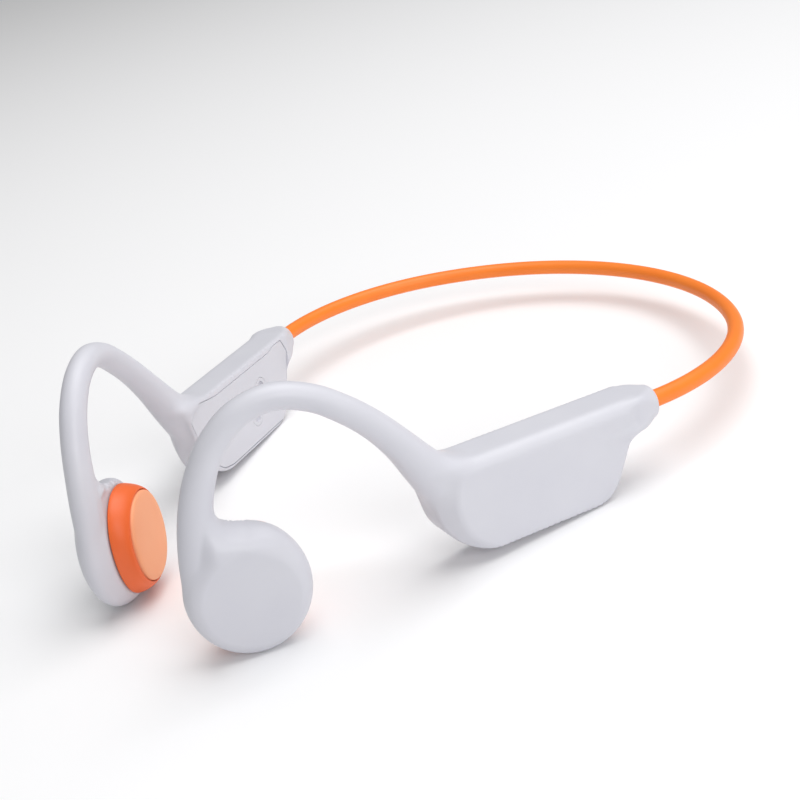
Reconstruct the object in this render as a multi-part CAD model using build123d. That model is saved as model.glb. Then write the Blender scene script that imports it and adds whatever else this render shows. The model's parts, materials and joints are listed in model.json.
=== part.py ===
from build123d import *
import os
from math import cos, radians, sin, tan

# Bone conduction headphones with a springy neckband behind the head.
# +Z is up, +X is the wearer's left, -Y is the wearer's front, +Y is the back of the neck.
# The left side is modelled; the right side is its mirror image in the YZ plane, with its own contents.
# Sizes are in millimetres and degrees.

# ---- overall layout ----
band_back_radius = 58.0       # plan radius of the neckband behind the neck
band_back_angle = 50.0        # turn of that arc on each side
band_side_radius = 48.5       # plan radius of the neckband's sides
housing_toe = 19.0            # the battery housings point inwards towards the front by this much
band_tilt = 5.2               # the neckband and the housings slope down towards the back
exit_height = 14.3            # the neckband leaves the housings at this height
pod_toe = 33.6                # the pods' contact faces turn inwards by this much
pod_side = 13.75              # sideways place of a contact face's centre
pod_forward = 77.6            # contact face's centre in front of the neckband's exit
pod_height = 13.1             # contact face's centre above the table

# ---- neckband ----
band_diameter = 3.5
band_wire_diameter = 0.8
band_cable_diameter = 0.9
band_bore_clearance = 0.1     # around the wire and the cable, on diameter
band_bore_gap = 0.4           # silicone left between the wire and the cable
band_insertion = 5.0          # length of neckband inside each housing's collar

# ---- housing behind the ear ----
housing_height = 19.4
housing_top = 3.75            # top edge above the neckband's axis
housing_thickness = 9.6
housing_front = 54.0          # front end ahead of the neckband's exit
housing_rear = 6.5            # rear edge at the neckband's axis
housing_rear_lean = 24.0      # the rear edge leans forward going down
housing_front_lean = 14.0     # the front end leans back going down
housing_front_radius = 9.5
housing_rear_radius = 4.0
housing_top_radius = 4.0
smallest_radius = 0.5         # least corner radius of the moved-in outlines
housing_outer_round = 2.6     # rounding of the outer edges
housing_inner_round = 0.8     # rounding of the inner edges
housing_wall = 1.4
collar_radius = 3.3
collar_root_radius = 3.7
collar_length = 14.0
collar_clearance = 0.05       # around the neckband, on radius
collar_stop = 0.4             # step that the neckband's end meets, on radius
cover_thickness = 1.2
cover_rim = 0.9               # width of housing rim around the inner cover
cover_ledge = 0.9             # width of the ledge under the inner cover
cover_clearance = 0.12
cover_seal_thickness = 0.3

# ---- ear hook ----
hook_diameter = 5.2
hook_neck_width = 7.6         # across the hook where it meets the pod
hook_neck_depth = 6.0
hook_foot_width = 6.4         # across the hook's end inside the pod's front edge
hook_foot_depth = 4.4
hook_foot = (-7.3, 0.0, 7.8)  # place of that end in the pod's frame
hook_root_width = 9.6         # across the hook where it meets the housing
hook_root_depth = 8.2
hook_wire_diameter = 1.2
hook_cable_diameter = 1.3
hook_bore_clearance = 0.1
hook_bore_offset = 1.1        # wire and cable lie this far either side of the hook's axis
hook_end = (-48.42, -0.95, -0.19)  # place of the hook's end in the housing's frame

# ---- pod at the cheekbone ----
pod_half_width = 11.7         # largest section of the pod
pod_lead = 0.4                # the outer sections sit this far in front of the contact face's centre
pod_half_height = 13.1
pod_girth_depth = 8.0         # depth of that section behind the contact face
pod_depth = 11.4              # depth of the pod's outer face
facet_half_width = 9.4
facet_half_height = pod_half_height - 2.2
facet_round = 1.0
seam_depth = 4.4              # depth of the seam between pod shell and transducer housing
seam_half_width = 9.4
seam_half_height = pod_half_height - 1.8
pod_wall = 1.3
contact_half_width = 8.4
contact_half_height = seam_half_height - 1.7
contact_rim = 0.55            # housing rim around the contact pad
contact_pad_thickness = 0.9
contact_pad_proud = 0.45      # the pad stands this far out of its pocket
contact_clearance = 0.1
driver_wall = 0.8             # transducer housing wall behind the contact pad
spigot_length = 1.2           # transducer housing inside the pod shell
pod_seal_thickness = 0.5

# ---- transducer ----
coil_outer_radius = 4.7
coil_inner_radius = 4.1
coil_length = 3.2
magnetic_gap = 0.2
yoke_radius = 6.0
yoke_wall = 1.1
magnet_radius = 3.5
magnet_thickness = 1.6
top_plate_thickness = 0.8
coil_overlap = 1.6            # how far the coil reaches into the yoke
flexure_thickness = 0.25
flexure_slot_width = 0.5
bracket_screw_radius = 0.5
bracket_screw_head_radius = 0.9
bracket_screw_head = 0.5
bracket_screw_length = 2.2
bracket_slot_half_width = 0.12
bracket_slot_depth = 0.2
terminal_board_radius = 4.2
terminal_board_thickness = 0.6

# ---- contents of the housings ----
battery_length = 26.0
battery_height = housing_height - 7.8
battery_setback = 7.2         # from the cavity's front end
battery_lift = 1.2            # above the cavity's floor
battery_corner_radius = 0.8
battery_tape_margin = 1.5     # from the cell's edges
battery_thickness = 5.0
battery_tape_thickness = 0.15
battery_board_length = 3.0
battery_board_margin = 2.0    # from the cell's top and bottom
battery_board_thickness = 0.8
battery_board_inset = 1.6     # from the cell's outer face
board_length = 30.0
board_height = housing_height - 8.8
board_lift = 4.4              # above the cavity's floor
board_corner_radius = 1.0
board_thickness = 0.8
board_gap = 2.4               # space between the board and the housing's outer wall
standoff_radius = 1.3
board_screw_radius = 0.6
board_screw_head_radius = 1.1
board_screw_head = 0.6
board_screw_grip = 1.8        # thread inside a post
screw_slot_half_width = 0.15
screw_slot_depth = 0.25
screw_edge_gap = 0.4          # from a post to the board's edge
radio_place = 12.5            # centre, from the board's front end
radio_length = 8.0
radio_height = 6.5
radio_thickness = 1.3
antenna_length = board_height - 4.2
antenna_height = 2.0
antenna_thickness = 1.0
connector_place = 19.5        # centre, from the board's front end
connector_margin = 2.0        # centre, from the board's edge
connector_length = 4.0
connector_height = 2.2
connector_thickness = 1.2
button_length = 7.5
button_width = 3.4
button_proud = 0.5            # how far a button stands out of the housing
button_travel = 0.35
button_clearance = 0.15
button_spacing = 10.5
button_flange = 0.5
button_flange_thickness = 0.6
membrane_thickness = 0.35
switch_length = 3.0
switch_width = 2.6
switch_height = 1.5
microphone_radius = 1.5
microphone_thickness = 1.0
microphone_hole_radius = 0.5
microphone_gap = 2.2          # centre, from a button's flange
mesh_thickness = 0.2
socket_length = 11.4          # magnetic charging socket on the inner cover
socket_width = 4.4
socket_lean = 36.0
socket_recess = 0.7
socket_thickness = 2.2
socket_clearance = 0.08
socket_wall = 0.8
socket_pin_radius = 0.6
socket_pin_spacing = 2.6
socket_magnet_length = 1.6
socket_magnet_width = 2.2
socket_magnet_thickness = 0.9
light_radius = 0.7
light_clearance = 0.05
light_gap = 3.2               # centre, from the microphone
light_pipe_extra = 0.8        # length of the pipe inside the cavity
light_pipe_recess = 0.02
status_light_half_width = 0.8
status_light_height = 0.7

# ---- frames of the left side ----
# plane of the neckband: x to the left, y back and slightly down
band_plane = Plane(
    origin=(0, 0, exit_height),
    x_dir=(1, 0, 0),
    z_dir=(0, sin(radians(band_tilt)), cos(radians(band_tilt))),
)
exit_side = band_back_radius * sin(radians(band_back_angle)) + band_side_radius * (
    cos(radians(housing_toe)) - sin(radians(band_back_angle))
)
exit_point = band_plane.from_local_coords(Vector(exit_side, 0, 0))
band_exit_direction = (
    band_plane.x_dir * sin(radians(housing_toe)) + band_plane.y_dir * cos(radians(housing_toe))
)
housing_outward = Vector(band_exit_direction.Y, -band_exit_direction.X, 0).normalized()
# x runs back along the housing, y up, z outwards, from the point where the neckband leaves
housing_frame = Plane(origin=exit_point, x_dir=band_exit_direction, z_dir=housing_outward)
# x runs back across the contact face, y up, z outwards, from the contact face's centre
pod_frame = Plane(
    origin=(pod_side, -pod_forward, pod_height),
    x_dir=(sin(radians(pod_toe)), cos(radians(pod_toe)), 0),
    z_dir=(cos(radians(pod_toe)), -sin(radians(pod_toe)), 0),
)

# ---- levels across the housing ----
housing_bottom = housing_top - housing_height
half_thickness = housing_thickness / 2
cover_inner = -half_thickness + cover_thickness
ledge_level = cover_inner + cover_seal_thickness
cavity_outer = half_thickness - housing_wall
cavity_inset = cover_rim + cover_ledge

# ---- depths in the pod ----
spigot_end = seam_depth + spigot_length
spigot_half_width = seam_half_width - pod_wall - contact_clearance
spigot_half_height = seam_half_height - pod_wall - contact_clearance
seal_groove = 0.5
driver_back = contact_pad_thickness + driver_wall
chamber_radius = yoke_radius + 0.9
coil_end = driver_back + coil_length
yoke_rim = coil_end - coil_overlap
top_plate_back = yoke_rim + top_plate_thickness
magnet_back = top_plate_back + magnet_thickness
yoke_back = magnet_back + yoke_wall
flexure_half_width = spigot_half_width
flexure_half_height = spigot_half_height
screw_height = (chamber_radius + spigot_half_height) / 2

# ---- contents of the left housing ----
battery_outer = cavity_outer - battery_tape_thickness
battery_inner = battery_outer - battery_thickness
battery_front = -housing_front + cavity_inset + battery_setback
battery_bottom = housing_bottom + cavity_inset + battery_lift

# ---- contents of the right housing ----
board_outer = cavity_outer - board_gap
board_inner = board_outer - board_thickness
board_front = battery_front
board_bottom = housing_bottom + cavity_inset + board_lift
button_floor = housing_bottom + cavity_inset
button_places = (-housing_front + 16.0, -housing_front + 16.0 + button_spacing)
socket_x = -housing_rear - 18.0
socket_y = housing_bottom + housing_height / 2 - 0.5


def ellipse_at(half_width, half_height, depth):
    """Elliptical section of the pod at a depth behind the contact face."""
    return Pos(0, 0, depth) * Ellipse(half_width, half_height)


def elliptical_disc(half_width, half_height, near, far):
    """Elliptical plate of the pod between two depths."""
    return Pos(0, 0, near) * extrude(Ellipse(half_width, half_height), far - near)


def disc(radius, near, far):
    """Round plate of the transducer between two depths."""
    return Pos(0, 0, near) * extrude(Circle(radius), far - near)


def box_between(low, high):
    """Box between two opposite corners."""
    size = Vector(*high) - Vector(*low)
    middle = (Vector(*high) + Vector(*low)) / 2
    return Pos(middle) * Box(size.X, size.Y, size.Z)


def hook_path():
    """Axis of the ear hook in the pod's frame, from the pod's top over the ear into the housing."""
    points = [
        (-7.0, 8.2, 7.4),
        (-5.5, 18.0, 7.2),
        (-2.3, 26.6, 7.0),
        (4.8, 32.7, 6.7),
        (13.2, 33.7, 6.4),
        (20.6, 30.6, 6.4),
        (26.4, 24.8, 6.0),
        (31.3, 18.3, 4.8),
        (35.6, 11.0, 3.4),
        (39.6, 4.4, 1.8),
    ]
    # the points near the housing follow it when the layout changes, and those near the pod stay
    shift = pod_frame.to_local_coords(housing_frame.from_local_coords(Vector(*hook_end))) - Vector(*points[-1])
    last = len(points) - 1
    moved = [Vector(*point) + shift * (index / last) for index, point in enumerate(points)]
    return tangent_arc_path(moved)


def tangent_arc_path(points):
    """Straight runs through hand-picked points, with the largest tangent arc at each corner."""
    corners = list(points)
    radii = []
    for before, corner, after in zip(corners, corners[1:], corners[2:]):
        turn = (corner - before).get_angle(after - corner)
        shorter = min((corner - before).length, (after - corner).length)
        radii.append(0.45 * shorter / tan(radians(turn / 2)))
    print("bend radii", [round(r, 1) for r in radii])
    return FilletPolyline(*corners, radius=radii)


def hook_section(place, across, thick):
    """Elliptical section of the hook at a share of its length."""
    path = hook_path()
    along = path % place
    section = Plane(origin=path @ place, x_dir=along.cross(Vector(0, 0, 1)), z_dir=along)
    return section * Ellipse(across / 2, thick / 2)


def hook_flares():
    """Widening ends of the hook: one runs down the pod's front edge, one meets the housing."""
    inside_pod = Plane(origin=hook_foot, x_dir=(-1, 0, 0), z_dir=(0, 1, 0))
    neck = loft([
        inside_pod * Ellipse(hook_foot_width / 2, hook_foot_depth / 2),
        hook_section(0.03, hook_neck_width, hook_neck_depth),
        hook_section(0.24, hook_diameter, hook_diameter),
    ])
    root = loft([
        hook_section(0.97, hook_root_width, hook_root_depth),
        hook_section(0.74, hook_diameter, hook_diameter),
    ])
    return [neck, root]


def sweep_round(radius, path):
    """Round bar along a path."""
    start = Plane(origin=path @ 0, z_dir=path % 0)
    return sweep(start * Circle(radius), path)


def housing_outline(inset=0.0):
    """Side outline of the housing, moved inwards all round by inset."""
    top = housing_top - inset
    bottom = housing_bottom + inset
    front = -housing_front + inset
    lean = tan(radians(housing_rear_lean))
    step = inset / cos(radians(housing_rear_lean))
    rear_top = -housing_rear - step + lean * top
    rear_bottom = -housing_rear - step + lean * bottom
    front_bottom = front + tan(radians(housing_front_lean)) * (top - bottom)
    corners = [(front, top), (rear_top, top), (rear_bottom, bottom), (front_bottom, bottom)]
    outline = make_face(Polyline(*corners, close=True))
    vertices = outline.vertices()
    at_front = vertices.sort_by(Axis.X)[:2].sort_by(Axis.Y)
    at_rear = vertices.sort_by(Axis.X)[2:].sort_by(Axis.Y)
    rounded = (
        (at_front[0], housing_front_radius),
        (at_rear[0], housing_rear_radius),
        (at_front[1], housing_top_radius),
        (at_rear[1], housing_top_radius),
    )
    for corner, radius in rounded:
        nearest = outline.vertices().sort_by_distance(corner)[0]
        outline = fillet(nearest, max(radius - inset, smallest_radius))
    return outline


def housing_slab(inset, low, high):
    """Slab of the housing's outline between two places across its thickness."""
    return Pos(0, 0, low) * extrude(housing_outline(inset), high - low)


def pod_loft(shrink, near, far):
    """Pod body between two depths, made smaller all round by shrink."""
    sections = [
        ellipse_at(seam_half_width - shrink, seam_half_height - shrink, near),
        Pos(-pod_lead, 0, 0) * ellipse_at(pod_half_width - shrink, pod_half_height - shrink, pod_girth_depth),
        Pos(-pod_lead, 0, 0) * ellipse_at(facet_half_width - shrink, facet_half_height - shrink, far),
    ]
    return loft(sections)


def make_body_shell():
    """Pod shell, ear hook and housing shell in one moulding, with bores for the wire and the cable."""
    pod = pod_loft(0, seam_depth, pod_depth)
    pod = fillet(pod.edges().group_by(Axis.Z)[-1], facet_round)
    pod_cavity = pod_loft(pod_wall, seam_depth, pod_depth - pod_wall)
    pod_cavity += elliptical_disc(
        seam_half_width - pod_wall, seam_half_height - pod_wall, seam_depth - 1, seam_depth
    )

    slab = housing_slab(0, -half_thickness, half_thickness)
    slab = fillet(slab.edges().group_by(Axis.Z)[-1], housing_outer_round)
    slab = fillet(slab.edges().group_by(Axis.Z)[0], housing_inner_round)
    collar = loft([
        Plane(origin=(0, 0, 0), z_dir=(-1, 0, 0)) * Circle(collar_radius),
        Plane(origin=(-collar_length, 0, 0), z_dir=(-1, 0, 0)) * Circle(collar_root_radius),
    ])
    mouth = Plane(origin=(0, 0, 0), z_dir=(-1, 0, 0))
    collar_bore = extrude(mouth * Circle(band_diameter / 2 + collar_clearance), band_insertion)
    cable_way = extrude(mouth * Circle(band_diameter / 2 - collar_stop), collar_length + 2)
    cavity = housing_slab(cover_rim + cover_ledge, cover_inner, half_thickness - housing_wall)
    opening = housing_slab(cover_rim, -half_thickness - 1, cover_inner + cover_seal_thickness)

    path = hook_path()
    hook = pod_frame * sweep_round(hook_diameter / 2, path)
    for flare in hook_flares():
        hook += pod_frame * flare
    pod_part = pod_frame * pod
    housing_part = housing_frame * (slab + collar)
    shell = pod_part + hook + housing_part
    shell -= pod_frame * pod_cavity
    shell -= housing_frame * (cavity + opening)
    shell -= housing_frame * collar_bore
    shell -= housing_frame * cable_way
    for bore, offset in (
        (hook_wire_diameter + hook_bore_clearance, -hook_bore_offset),
        (hook_cable_diameter + hook_bore_clearance, hook_bore_offset),
    ):
        shell -= pod_frame * Pos(0, 0, offset) * sweep_round(bore / 2, path)
    return shell


def make_inner_cover():
    """Flat cover on the head side of a housing, seated on a ledge."""
    cover = housing_slab(cover_rim + cover_clearance, -half_thickness, cover_inner)
    return fillet(cover.edges().group_by(Axis.Z)[0], 0.2)


def make_cover_seal():
    """Thin rubber ring between the inner cover and its ledge."""
    ring = housing_slab(cover_rim + cover_clearance, cover_inner, ledge_level)
    return ring - housing_slab(cover_rim + cover_ledge, cover_inner - 1, ledge_level + 1)


def make_hook_core(diameter, offset):
    """Wire or cable inside the ear hook."""
    return Pos(0, 0, offset) * sweep_round(diameter / 2, hook_path())


def make_transducer_housing():
    """Side wall around the transducer with a pocket for the contact pad and a spigot for the pod shell."""
    rim_half_width = contact_half_width + contact_rim
    rim_half_height = contact_half_height + contact_rim
    body = loft([
        ellipse_at(rim_half_width, rim_half_height, contact_pad_proud),
        ellipse_at(seam_half_width, seam_half_height, seam_depth),
    ])
    body += elliptical_disc(spigot_half_width, spigot_half_height, seam_depth, spigot_end)
    pocket_half_width = contact_half_width + contact_clearance
    pocket_half_height = contact_half_height + contact_clearance
    body -= elliptical_disc(pocket_half_width, pocket_half_height, 0, contact_pad_thickness)
    body -= disc(chamber_radius, driver_back, spigot_end)
    for height in (screw_height, -screw_height):
        body -= Pos(0, height, spigot_end - bracket_screw_length) * extrude(
            Circle(bracket_screw_radius), bracket_screw_length
        )
    return body - make_pod_seal()


def make_contact_pad():
    """Soft pad that rests on the skin."""
    pad = elliptical_disc(contact_half_width, contact_half_height, 0, contact_pad_thickness)
    return fillet(pad.edges().group_by(Axis.Z)[0], 0.3)


def make_pod_seal():
    """Rubber ring around the spigot, inside the lip of the pod shell."""
    start = spigot_end - pod_seal_thickness
    ring = elliptical_disc(spigot_half_width, spigot_half_height, start, spigot_end)
    return ring - elliptical_disc(
        spigot_half_width - seal_groove, spigot_half_height - seal_groove, start - 1, spigot_end + 1
    )


def make_yoke():
    """Steel cup that closes the magnetic circuit."""
    cup = disc(yoke_radius, yoke_rim, yoke_back)
    return cup - disc(yoke_radius - yoke_wall, yoke_rim - 1, magnet_back)


def make_voice_coil():
    """Coil fixed behind the contact wall."""
    return disc(coil_outer_radius, driver_back, coil_end) - disc(coil_inner_radius, driver_back, coil_end)


def make_flexure():
    """Slotted spring plate that carries the yoke and magnet."""
    far = spigot_end + flexure_thickness
    plate = elliptical_disc(flexure_half_width, flexure_half_height, spigot_end, far)
    plate -= disc(yoke_radius, spigot_end - 1, spigot_end + 1)
    for height in (screw_height, -screw_height):
        plate -= Pos(0, height, spigot_end - 1) * extrude(Circle(bracket_screw_radius), 2)
    slot_radius = chamber_radius
    for side in (0, 180):
        arc = Rot(0, 0, side) * CenterArc((0, 0), slot_radius, -50, 100)
        slot = Pos(0, 0, spigot_end - 1) * extrude(
            make_face(offset(arc, flexure_slot_width / 2, side=Side.BOTH)), 2
        )
        plate -= slot
    return plate


def make_bracket_screws():
    """Two small screws that hold the flexure to the transducer housing."""
    screws = []
    head_level = spigot_end + flexure_thickness
    slot_floor = head_level + bracket_screw_head - bracket_slot_depth
    for height in (screw_height, -screw_height):
        shank = Pos(0, height, spigot_end - bracket_screw_length) * extrude(
            Circle(bracket_screw_radius), bracket_screw_length + flexure_thickness
        )
        head = Pos(0, height, head_level) * extrude(Circle(bracket_screw_head_radius), bracket_screw_head)
        slot = box_between(
            (-bracket_screw_head_radius, height - bracket_slot_half_width, slot_floor),
            (bracket_screw_head_radius, height + bracket_slot_half_width, slot_floor + bracket_screw_head),
        )
        screws.append(shank + head - slot)
    return screws


def make_battery():
    """Flat pouch cell on the outer wall of the left housing."""
    cell = box_between(
        (battery_front, battery_bottom, battery_inner),
        (battery_front + battery_length, battery_bottom + battery_height, battery_outer),
    )
    return fillet(cell.edges().filter_by(Axis.X), battery_corner_radius)


def make_battery_tape():
    """Adhesive pad between the cell and the outer wall."""
    margin = battery_tape_margin
    return box_between(
        (battery_front + margin, battery_bottom + margin, battery_outer),
        (battery_front + battery_length - margin, battery_bottom + battery_height - margin, cavity_outer),
    )


def make_battery_board():
    """Protection board at the rear end of the cell."""
    start = battery_front + battery_length
    low = battery_bottom + battery_board_margin
    high = battery_bottom + battery_height - battery_board_margin
    level = battery_outer - battery_board_inset
    return box_between(
        (start, low, level - battery_board_thickness),
        (start + battery_board_length, high, level),
    )


def screw_places():
    """Places of the two board screws in the housing's frame."""
    edge = standoff_radius + screw_edge_gap
    return (
        (board_front + edge, board_bottom + board_height - edge),
        (board_front + board_length - edge, board_bottom + edge),
    )


def make_main_board():
    """Circuit board of the right housing."""
    board = box_between(
        (board_front, board_bottom, board_inner),
        (board_front + board_length, board_bottom + board_height, board_outer),
    )
    board = fillet(board.edges().filter_by(Axis.Z), board_corner_radius)
    for x, y in screw_places():
        board -= Pos(x, y, board_inner) * extrude(Circle(board_screw_radius), board_thickness)
    return board


def make_board_screws():
    """Two small screws that hold the board to its posts."""
    screws = []
    head_level = board_inner - board_screw_head
    for x, y in screw_places():
        shank = Pos(x, y, board_inner) * extrude(
            Circle(board_screw_radius), board_thickness + board_screw_grip
        )
        head = Pos(x, y, board_inner - board_screw_head) * extrude(
            Circle(board_screw_head_radius), board_screw_head
        )
        slot = box_between(
            (x - board_screw_head_radius, y - screw_slot_half_width, head_level - screw_slot_depth),
            (x + board_screw_head_radius, y + screw_slot_half_width, head_level + screw_slot_depth),
        )
        screws.append(shank + head - slot)
    return screws


def on_board(centre_x, centre_y, length, height, thickness):
    """Component soldered on the head side of the board."""
    return box_between(
        (centre_x - length / 2, centre_y - height / 2, board_inner - thickness),
        (centre_x + length / 2, centre_y + height / 2, board_inner),
    )


def make_radio_shield():
    """Metal can over the radio chip."""
    centre = (board_front + radio_place, board_bottom + board_height / 2)
    can = on_board(*centre, radio_length, radio_height, radio_thickness)
    return fillet(can.edges().group_by(Axis.Z)[0], 0.25)


def make_antenna():
    """Chip antenna at the front end of the board."""
    return on_board(
        board_front + 1 + antenna_height / 2 + 0.6,
        board_bottom + 1 + antenna_length / 2,
        antenna_height,
        antenna_length,
        antenna_thickness,
    )


def make_board_connectors():
    """Two small wire connectors on the board."""
    x = board_front + connector_place
    return [
        on_board(x, board_bottom + y, connector_length, connector_height, connector_thickness)
        for y in (connector_margin, board_height - connector_margin)
    ]


def button_block(length, width, low, high):
    """Rounded block about a button's axis, between two heights of the housing."""
    block = box_between((-length / 2, low, -width / 2), (length / 2, high, width / 2))
    return fillet(block.edges().filter_by(Axis.Y), min(length, width) / 2 - 0.05)


def make_button(place):
    """Volume button with a flange that keeps it in the housing."""
    cap_low = housing_bottom - button_proud
    flange_low = button_floor + button_clearance / 3
    cap = button_block(button_length, button_width, cap_low, flange_low)
    cap = fillet(cap.edges().group_by(Axis.Y)[0], 0.3)
    flange = button_block(
        button_length + 2 * button_flange,
        button_width + 2 * button_flange,
        flange_low,
        flange_low + button_flange_thickness,
    )
    return Pos(place, 0, 0) * (cap + flange)


def membrane_low():
    """Underside of the membrane: the buttons touch it when pressed in."""
    return button_floor + button_clearance / 3 + button_flange_thickness + button_travel + 0.05


def make_button_membrane():
    """Rubber strip that seals both buttons."""
    ends = (button_length / 2 + 1.2, button_width / 2 + 0.9)
    low = membrane_low()
    return box_between(
        (button_places[0] - ends[0], low, -ends[1]),
        (button_places[1] + ends[0], low + membrane_thickness, ends[1]),
    )


def make_switches():
    """Two tactile switches under the lower edge of the board."""
    low = membrane_low() + membrane_thickness + 0.05
    return [
        box_between(
            (place - switch_length / 2, low, -switch_width / 2),
            (place + switch_length / 2, low + switch_height, switch_width / 2),
        )
        for place in button_places
    ]


def microphone_place():
    """Place of the microphone along the housing."""
    return button_places[1] + button_length / 2 + button_flange + microphone_gap


def light_place():
    """Place of the status light along the housing."""
    return microphone_place() + light_gap


def make_microphone():
    """Microphone capsule above its port in the underside."""
    low = button_floor + mesh_thickness
    return Pos(microphone_place(), low, 0) * Rot(-90, 0, 0) * extrude(
        Circle(microphone_radius), microphone_thickness
    )


def make_microphone_mesh():
    """Thin mesh disc under the capsule."""
    return Pos(microphone_place(), button_floor, 0) * Rot(-90, 0, 0) * extrude(
        Circle(microphone_radius), mesh_thickness
    )


def socket_frame_shape(shape):
    """Piece of the leaning charging socket in the housing's frame; its own z points to the head."""
    frame = Plane(origin=(socket_x, socket_y, -half_thickness), x_dir=(1, 0, 0), z_dir=(0, 0, -1))
    return frame * Rot(0, 0, socket_lean) * shape


def stadium(length, width):
    """Round-ended slot outline with its long side along y."""
    return Rot(0, 0, 90) * SlotOverall(length, width)


def make_charging_socket():
    """Shallow tray set in the inner cover for the magnetic charging plug."""
    body = extrude(stadium(socket_length, socket_width), -socket_thickness)
    recess = extrude(stadium(socket_length - 2 * socket_wall, socket_width - 2 * socket_wall), -socket_recess)
    body -= recess
    for y in pin_places():
        body -= Pos(0, y, -socket_thickness) * extrude(Circle(socket_pin_radius), socket_thickness)
    for y in magnet_places():
        body -= magnet_block(y)
    return body


def pin_places():
    """Contact pins along the socket."""
    return (-socket_pin_spacing / 2, socket_pin_spacing / 2)


def magnet_places():
    """Magnets beside the pins."""
    away = socket_pin_spacing / 2 + socket_pin_radius + 0.4 + socket_magnet_length / 2
    return (-away, away)


def magnet_block(y):
    """Block magnet set in the back of the socket."""
    half_width = socket_magnet_width / 2
    return box_between(
        (-half_width, y - socket_magnet_length / 2, -socket_thickness),
        (half_width, y + socket_magnet_length / 2, -socket_thickness + socket_magnet_thickness),
    )


def make_charging_pins():
    """Two gold-plated contacts, domed towards the plug."""
    pins = []
    for y in pin_places():
        pin = Pos(0, y, -socket_thickness) * extrude(
            Circle(socket_pin_radius), socket_thickness - socket_recess + 0.3
        )
        pins.append(fillet(pin.edges().group_by(Axis.Z)[-1], 0.2))
    return pins


def make_charging_magnets():
    """Two magnets that hold the charging plug."""
    return [magnet_block(y) for y in magnet_places()]


def make_light_pipe():
    """Clear pipe that carries the status light through the underside."""
    return Pos(light_place(), housing_bottom + light_pipe_recess, 0) * Rot(-90, 0, 0) * extrude(
        Circle(light_radius), cavity_inset + light_pipe_extra
    )


def make_status_light():
    """Light-emitting diode behind the pipe."""
    x = light_place()
    low = housing_bottom + light_pipe_recess + cavity_inset + light_pipe_extra
    half_width = status_light_half_width
    return box_between(
        (x - half_width, low, -half_width),
        (x + half_width, low + status_light_height, half_width),
    )


def right_openings():
    """What is cut from the right shell: button openings, microphone port and light hole."""
    low = housing_bottom - 1
    high = button_floor + 0.01
    clearance = 2 * button_clearance
    cuts = [
        Pos(place, 0, 0) * button_block(button_length + clearance, button_width + clearance, low, high)
        for place in button_places
    ]
    for x, radius in (
        (microphone_place(), microphone_hole_radius),
        (light_place(), light_radius + light_clearance),
    ):
        cuts.append(Pos(x, low, 0) * Rot(-90, 0, 0) * extrude(Circle(radius), high - low))
    return cuts


def make_posts():
    """Two posts inside the right shell for the board screws."""
    posts = []
    for x, y in screw_places():
        post = Pos(x, y, board_outer) * extrude(Circle(standoff_radius), board_gap + 0.3)
        posts.append(post - Pos(x, y, board_outer) * extrude(Circle(board_screw_radius), board_screw_grip))
    return posts


def band_path(height=0.0):
    """Axis of the neckband from the right collar round the neck to the left collar."""
    end = Vector(exit_side, 0)
    inward = Vector(sin(radians(housing_toe)), cos(radians(housing_toe)))
    mirrored = Vector(-inward.X, inward.Y)
    start = Vector(-exit_side, 0)
    side_turn = 90 + housing_toe - band_back_angle
    first = Line(start - mirrored * band_insertion, start)
    right_side = JernArc(start, mirrored, band_side_radius, -side_turn)
    back = JernArc(right_side @ 1, right_side % 1, band_back_radius, -2 * band_back_angle)
    left_side = JernArc(back @ 1, back % 1, band_side_radius, -side_turn)
    last = Line(left_side @ 1, end - inward * band_insertion)
    path = Wire([edge for line in (first, right_side, back, left_side, last) for edge in line.edges()])
    return band_plane * Pos(0, 0, height) * path


def band_round(radius, height=0.0):
    """Round bar that follows the neckband."""
    return sweep_round(radius, band_path(height))


def make_neckband():
    """Silicone sleeve, spring wire and cable of the neckband."""
    wire_bore = (band_wire_diameter + band_bore_clearance) / 2
    cable_bore = (band_cable_diameter + band_bore_clearance) / 2
    wire_height = -(band_bore_gap / 2 + wire_bore)
    cable_height = band_bore_gap / 2 + cable_bore
    sleeve = band_round(band_diameter / 2) - band_round(wire_bore, wire_height)
    sleeve -= band_round(cable_bore, cable_height)
    wire = band_round(band_wire_diameter / 2, wire_height)
    cable = band_round(band_cable_diameter / 2, cable_height)
    return {"neckband_sleeve": sleeve, "neckband_spring_wire": wire, "neckband_cable": cable}


def side_pieces():
    """Pieces that both sides share, in the left side's place."""
    in_housing = {
        "inner_cover": make_inner_cover(),
        "cover_seal": make_cover_seal(),
    }
    in_pod = {
        "hook_spring_wire": make_hook_core(hook_wire_diameter, -hook_bore_offset),
        "hook_cable": make_hook_core(hook_cable_diameter, hook_bore_offset),
        "transducer_housing": make_transducer_housing(),
        "contact_pad": make_contact_pad(),
        "pod_seal": make_pod_seal(),
        "yoke": make_yoke(),
        "magnet": disc(magnet_radius, top_plate_back, magnet_back),
        "top_plate": disc(coil_inner_radius - magnetic_gap, yoke_rim, top_plate_back),
        "voice_coil": make_voice_coil(),
        "flexure": make_flexure(),
        "flexure_screws": make_bracket_screws(),
        "terminal_board": disc(terminal_board_radius, yoke_back, yoke_back + terminal_board_thickness),
    }
    pieces = {name: placed(shape, housing_frame) for name, shape in in_housing.items()}
    pieces.update({name: placed(shape, pod_frame) for name, shape in in_pod.items()})
    return pieces


def placed(shape, frame):
    """Shape or group of shapes moved from a frame into the headphones."""
    if isinstance(shape, list):
        return [frame * piece for piece in shape]
    return frame * shape


def mirrored_right(shape):
    """Mirror image on the wearer's right."""
    if isinstance(shape, list):
        return [mirror(piece, about=Plane.YZ) for piece in shape]
    return mirror(shape, about=Plane.YZ)


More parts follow.
